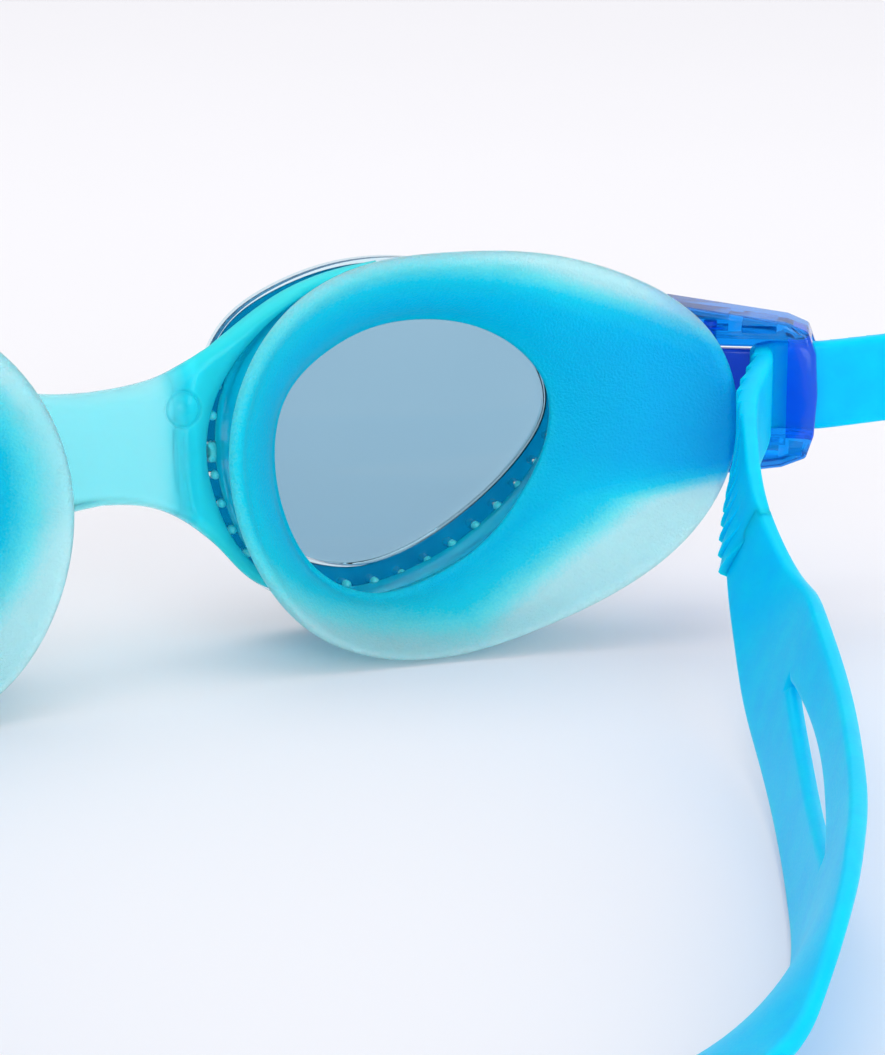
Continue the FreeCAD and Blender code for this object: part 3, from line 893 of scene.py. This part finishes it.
def boss_and_step_points():
    """Extra mesh points for the boss's ring groove and along the edge step's arc."""
    turns = np.linspace(0.0, 2.0 * math.pi, 57)[:-1]
    fine = []
    for offset in (-1.5, -0.9, -0.36, -0.22, -0.11, 0.0, 0.11, 0.22, 0.36):
        ring = BOSS_R + offset
        fine.append(np.column_stack([BOSS[0] + ring * np.cos(turns),
                                     BOSS[1] + ring * np.sin(turns)]))
    sweep = np.linspace(2.6, 3.7, 70)
    for offset in (-0.3, -0.15, 0.0, 0.15, 0.3):
        reach = STEP_RADIUS + offset
        arc = np.column_stack([STEP_CENTRE[0] + reach * np.cos(sweep),
                               STEP_CENTRE[1] + reach * np.sin(sweep)])
        clear = np.hypot(*(arc - np.array(BOSS)).T) > BOSS_R + 0.5
        fine.append(arc[clear])
    fine = np.vstack(fine)
    return np.vstack([fine, fine * np.array([-1.0, 1.0])])


def bridge():
    """The soft bar between the eyes with a wing round the inner side of each eye cup."""
    half = []
    for run in (BRIDGE_TOP, WING_IN, BRIDGE_LOW):
        curve = Curve(run, dims=2)
        half.append(curve.at(np.linspace(0.0, curve.length, int(curve.length / 0.45))))
    right = np.vstack(half)
    left = right[::-1] * np.array([-1.0, 1.0])
    loop = np.vstack([right, left])
    gaps = np.linalg.norm(loop - np.roll(loop, 1, axis=0), axis=1)
    loop = loop[gaps > 0.05]

    def lift(flat, depth):
        x, z = np.abs(flat[:, 0]), flat[:, 1]
        back = np.interp(x, *zip(*BRIDGE_BACK))
        flange = wrap_y(np.maximum(x, 12.0), z, -HALF_LENS) - 0.04
        back = np.minimum(back, flange - 1.1)
        front = np.interp(x, *zip(*BRIDGE_FRONT))
        reach = np.hypot(x - STEP_CENTRE[0], z - STEP_CENTRE[1])
        step = ease(-0.2, 0.2, reach - STEP_RADIUS)
        front = front - STEP_FRONT * step
        back = back + STEP_BACK * step
        front = mix(front, flange, ease(10.6, 14.6, x))
        # the edge is rounded both ways on the bar, and almost only behind on the wings
        wing = ease(11.0, 13.5, x)
        middle = mix(back, front, mix(0.55, 0.85, wing))
        curve_back = round_edge(depth, 1.5)
        curve_front = round_edge(depth / mix(1.1, 0.3, wing), 1.0)
        ring = np.hypot(x - BOSS[0], z - BOSS[1])
        groove = BOSS_GROOVE * np.exp(-((ring - BOSS_R) / 0.17) ** 2)
        nub = -BOSS_GROOVE * np.exp(-(ring / 0.55) ** 2)
        back = mix(middle, back, curve_back) + groove + nub
        front = mix(middle, front, curve_front)
        return (np.column_stack([flat[:, 0], front, z]),
                np.column_stack([flat[:, 0], back, z]))

    made = plate("nose_bridge_gel", [loop], (0.1, 0.25, 0.5, 0.85, 1.3), 0.42, lift,
                 extra=boss_and_step_points())
    dress(made, "bridge_gel")
    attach(made, "goggles")
    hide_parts("nose_bridge")


# ---- strap -----------------------------------------------------------------------------
def clip_xy(u, v):
    """A clip's own u, rearward, and v, outward, from its hinge pin."""
    c, s = math.cos(CLIP_TURN), math.sin(CLIP_TURN)
    return PIN_X + u * c + v * s, PIN_Y - u * s + v * c


class Ribbon:
    """A flat strap's lower edge with its lean and width, and places across it."""

    def __init__(self, rows):
        self.curve = Curve(rows)
        fine = np.linspace(0.0, self.curve.length, 4000)
        spots = self.curve.at(fine)
        step = np.linalg.norm(np.diff(spots[:, :3], axis=0), axis=1)
        # the length along the edge at each of the fine spots
        self.run = np.concatenate([[0.0], np.cumsum(step)])
        self.spots = spots
        self.length = self.run[-1]
        ahead = np.gradient(spots[:, :3], axis=0)
        self.ahead = ahead / np.linalg.norm(ahead, axis=1)[:, None]

    def frame(self, s):
        """At runs s: the foot, the directions across and outward, and the width."""
        spot = np.column_stack([np.interp(s, self.run, c) for c in self.spots.T])
        ahead = np.column_stack([np.interp(s, self.run, c) for c in self.ahead.T])
        out = np.cross(np.array([0.0, 0.0, 1.0]), ahead)
        out /= np.linalg.norm(out, axis=1)[:, None]
        up = np.cross(ahead, out)
        up /= np.linalg.norm(up, axis=1)[:, None]
        lean = np.radians(spot[:, 3])[:, None]
        across = out * np.sin(lean) + up * np.cos(lean)
        face = out * np.cos(lean) - up * np.sin(lean)
        return spot[:, :3], across, face, spot[:, 4]

    def place(self, s, share, height):
        """Points at a run s, a share of the width and a height along the outward face."""
        foot, across, face, width = self.frame(s)
        lift = np.abs(face[:, 2:3]) * STRAP_T / 2.0
        up = np.array([[0.0, 0.0, 1.0]])
        return foot + lift * up + across * (width * share)[:, None] + face * height[:, None]


def tail_rows(route):
    """The ribbed strap's path: tail tip, through the clip, round its bar, to the route."""
    knots = [(26.4, 0.9), (25.0, 0.1), (23.6, -0.3), (21.5, -0.35), (19.8, -0.5),
             (18.8, -0.85), (18.15, -1.6), (17.95, -2.8)]
    spots = [clip_xy(u, v) for u, v in knots]
    x, y = spots[0]
    rows = [(TAIL_X, y - 0.05), (TAIL_X - 4.0, y - 0.05), (x + 7.0, y - 0.05),
            (x + 3.4, y - 0.05)] + spots
    rows = [(a, b, STRAP_Z, 0.0, STRAP_W) for a, b in rows]
    return rows + route[:7]


# Places across the strap's width, closer together at its rounded edges.
SHARES = np.array([0.0, 0.012, 0.035, 0.075, 0.13, 0.25, 0.4, 0.5, 0.6, 0.75, 0.87,
                   0.925, 0.965, 0.988, 1.0])


def rib_runs(drops, end):
    """Runs of the ribbed strap's rows: a few up each tooth's ramp, three at its drop."""
    runs = [0.0, 0.08, 0.25, 0.6]
    for drop in drops:
        ramp = np.linspace(runs[-1], drop - 0.12, 6)[1:]
        runs += list(ramp) + [drop - 0.03, drop + 0.02, drop + 0.14]
    return np.array([r for r in runs if r <= end - 0.03])


def ribbed_strap(side, mirror):
    """One narrow toothed end: free tail, turn round the clip's bar, run to the band."""
    route = ROUTE_LEFT if mirror else ROUTE
    ribbon = Ribbon(tail_rows(route))
    # where the tail hands over to the route, and where the ribs stop
    start = np.argmin(np.hypot(ribbon.spots[:, 0] - route[0][0],
                               ribbon.spots[:, 1] - route[0][1]))
    clip_run = ribbon.run[start]
    end = clip_run + RIBBED_LENGTH
    # runs where a tooth drops, counted back from the last one
    drops = np.arange(end, 0.6, -RIB_PITCH)[::-1]
    dist = np.minimum(SHARES, 1.0 - SHARES) * STRAP_W
    crown = round_edge(dist, 0.75)
    shares = np.concatenate([SHARES, SHARES[::-1]])
    points = []
    for s in rib_runs(drops, end):
        ahead = drops[min(np.searchsorted(drops, s), len(drops) - 1)]
        phase = 1.0 - (ahead - s) / RIB_PITCH
        inside_clip = 1.0 - ease(clip_run - 4.0, clip_run + 5.0, s)
        base = mix(RIB_BASE, 0.0, inside_clip)
        rise = float(np.clip(phase, 0.0, 1.0)) ** 1.15
        # towards its end the teeth fade from the upper edge of the strap
        upper = 1.0 - ease(clip_run + 8.0, clip_run + 19.0, s)
        tooth = (base + RIB_RISE * rise) * mix(1.0, upper, ease(0.15, 0.6, SHARES))
        near_tip = round_edge(s, 0.6)
        # its end sinks into the plain band
        sunk = near_tip * (1.0 - 0.08 * ease(end - 1.9, end - 1.0, s))
        inner_side = -(0.45 + 0.45 * crown) * sunk - tooth * round_edge(dist, 0.35)
        outer_side = (0.25 + (STRAP_T / 2.0 - 0.25) * crown) * sunk
        row = np.concatenate([outer_side, inner_side[::-1]])
        points.append(ribbon.place(np.full(len(row), s), shares, row))
    rows, columns = len(points), len(shares)
    points = np.vstack(points)
    faces = tube_faces(rows, columns, False)
    faces.append(tuple(range(columns))[::-1])
    faces.append(tuple((rows - 1) * columns + k for k in range(columns)))
    made = piece("strap_ribbed_" + side, points, faces, mirror, sharp=38)
    dress(made, "strap_silicone")
    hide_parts("strap_end_" + side)
    ends = ribbon.frame(np.array([clip_run + 3.0, end - 1.0]))[0]
    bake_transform(made)


def band():
    """The plain part of the head strap with its two slots."""
    ribbon = Ribbon(ROUTE)
    total = ribbon.length
    start, end = RIBBED_LENGTH - BAND_LAP, total - RIBBED_LENGTH + BAND_LAP
    count = int((end - start) / 0.8)
    runs = np.linspace(start, end, count)
    widths = ribbon.frame(runs)[3]
    low = np.column_stack([runs, np.zeros(count)])
    high = np.column_stack([runs, widths])[::-1]
    rises = np.linspace(0.0, 1.0, 14)[1:-1]
    last = np.column_stack([np.full(len(rises), end), mix(0.0, widths[-1], rises)])
    first = np.column_stack([np.full(len(rises), start), mix(widths[0], 0.0, rises)])
    outline = np.vstack([low, last, high, first])
    holes = []
    for far in (False, True):
        marks = np.linspace(0.0, 1.0, 70)
        half = SLOT_HALF * np.sin(np.pi * marks) ** 0.7
        at = mix(SLOT[0], SLOT[1], marks)
        if far:
            at = total - at
        middle = ribbon.frame(at)[3] * SLOT_MID
        upper = np.column_stack([at, middle + half])
        lower = np.column_stack([at, middle - half])[::-1]
        hole = np.vstack([upper, lower[1:-1]])
        x, z = hole.T
        if np.sum(x * np.roll(z, -1) - np.roll(x, -1) * z) < 0:
            hole = hole[::-1]
        holes.append(hole)

    def lift(flat, depth):
        width = ribbon.frame(flat[:, 0])[3]
        share = flat[:, 1] / width
        height = STRAP_T / 2.0 * (0.18 + 0.82 * round_edge(depth, 0.8))
        outer = ribbon.place(flat[:, 0], share, height)
        inner = ribbon.place(flat[:, 0], share, -height)
        return outer, inner

    made = plate("head_strap_band", [outline] + holes, (0.1, 0.28, 0.55, 0.85), 0.8,
                 lift)
    dress(made, "strap_silicone")
    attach(made, "goggles")
    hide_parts("head_strap")


# ---- CAD parts that stay ---------------------------------------------------------------
CLIP_ROUNDING = 0.3


def cad_finishes():
    """Materials and smooth shading on the rigid CAD nodes, and rounded clip edges."""
    for side in ("right", "left"):
        for node, finish in (("lens_flange", "flange_plastic"),
                             ("clip_housing", "clip_plastic"),
                             ("release_button", "button_plastic"),
                             ("hinge_pin", "pin_plastic"),
                             ("button_pin", "pin_plastic")):
            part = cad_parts["%s_%s" % (node, side)]
            dress(part, finish)
            weld = part.modifiers.new("weld", "WELD")
            weld.merge_threshold = 0.002 * MM
            part.data.shade_smooth()
            if node == "clip_housing":
                round_off = part.modifiers.new("rounding", "BEVEL")
                round_off.width = CLIP_ROUNDING * MM
                round_off.segments = 2
                round_off.limit_method = "ANGLE"
                round_off.angle_limit = math.radians(35)
                round_off.use_clamp_overlap = True
            split = part.modifiers.new("edges", "EDGE_SPLIT")
            split.split_angle = math.radians(28)


# ---- table, light and camera -----------------------------------------------------------
TABLE_HALF = 30.0        # metres
OVERHEAD_AT = Vector((0.1, 0.2, 1.1))
OVERHEAD_AIM = Vector((0.03, 0.03, 0.02))
OVERHEAD_SIZE = 1.2
FRONT_TOWARD = Vector((0.16, 0.78, -0.13))
SENSOR = 36.0
LENS_RATIO = 3400.0 / 1055.0       # focal length over the picture's height
CAMERA_AT = (-146.1, -363.5, 119.3)
CAMERA_AHEAD = Vector((0.4535, 0.8529, -0.2588))
CAMERA_RIGHT = Vector((0.8829, -0.4695, 0.0))


def table():
    mesh = bpy.data.meshes.new("table")
    a = TABLE_HALF
    corners = [(-a, -a, 0), (a, -a, 0), (a, a, 0), (-a, a, 0)]
    mesh.from_pydata(corners, [], [(0, 1, 2, 3)])
    made = bpy.data.objects.new("table", mesh)
    bpy.context.scene.collection.objects.link(made)
    top = Finish("table_top", Roughness=0.6, Specular_IOR_Level=0.1)
    top.to(top.ramp(top.noise(3.0), (0.3, colour(240, 237, 240)),
                    (0.7, colour(242, 239, 242))), "Base Color")
    mesh.materials.append(top.mat)


def hang(data, spot, toward):
    """A lamp at a spot that shines along a direction."""
    lamp = bpy.data.objects.new(data.name, data)
    lamp.location = spot
    lamp.rotation_euler = toward.to_track_quat("-Z", "Y").to_euler()
    bpy.context.scene.collection.objects.link(lamp)


def lights():
    world = bpy.data.worlds.new("studio")
    world.use_nodes = True
    back = world.node_tree.nodes["Background"]
    back.inputs["Color"].default_value = (0.98, 0.985, 1.0, 1.0)
    back.inputs["Strength"].default_value = 0.8
    bpy.context.scene.world = world

    overhead = bpy.data.lights.new("overhead", "AREA")
    overhead.shape = "RECTANGLE"
    overhead.size = OVERHEAD_SIZE
    overhead.size_y = OVERHEAD_SIZE
    overhead.energy = 4.2
    hang(overhead, OVERHEAD_AT, OVERHEAD_AIM - OVERHEAD_AT)

    # a broad low light from the face side, without an edge on the table
    front = bpy.data.lights.new("front", "SUN")
    front.energy = 1.85
    front.angle = math.radians(50)
    front.color = (0.8, 0.93, 1.0)
    hang(front, Vector(), FRONT_TOWARD)


def camera():
    data = bpy.data.cameras.new("camera")
    data.sensor_width = SENSOR
    data.sensor_fit = "AUTO"
    data.lens = LENS_RATIO * SENSOR
    data.clip_start, data.clip_end = 0.01, 30.0
    made = bpy.data.objects.new("camera", data)
    forward = CAMERA_AHEAD.normalized()
    right = CAMERA_RIGHT.normalized()
    turn = Matrix((right, right.cross(forward), -forward)).transposed()
    spot = Matrix.Translation(place(CAMERA_AT))
    made.matrix_world = spot @ turn.to_4x4()
    bpy.context.scene.collection.objects.link(made)
    bpy.context.scene.camera = made
    bpy.context.scene.view_settings.view_transform = "Standard"


def main():
    for side, mirror in (("right", False), ("left", True)):
        eye(side, mirror)
        ribbed_strap(side, mirror)
    bridge()
    band()
    cad_finishes()
    table()
    lights()
    camera()


main()
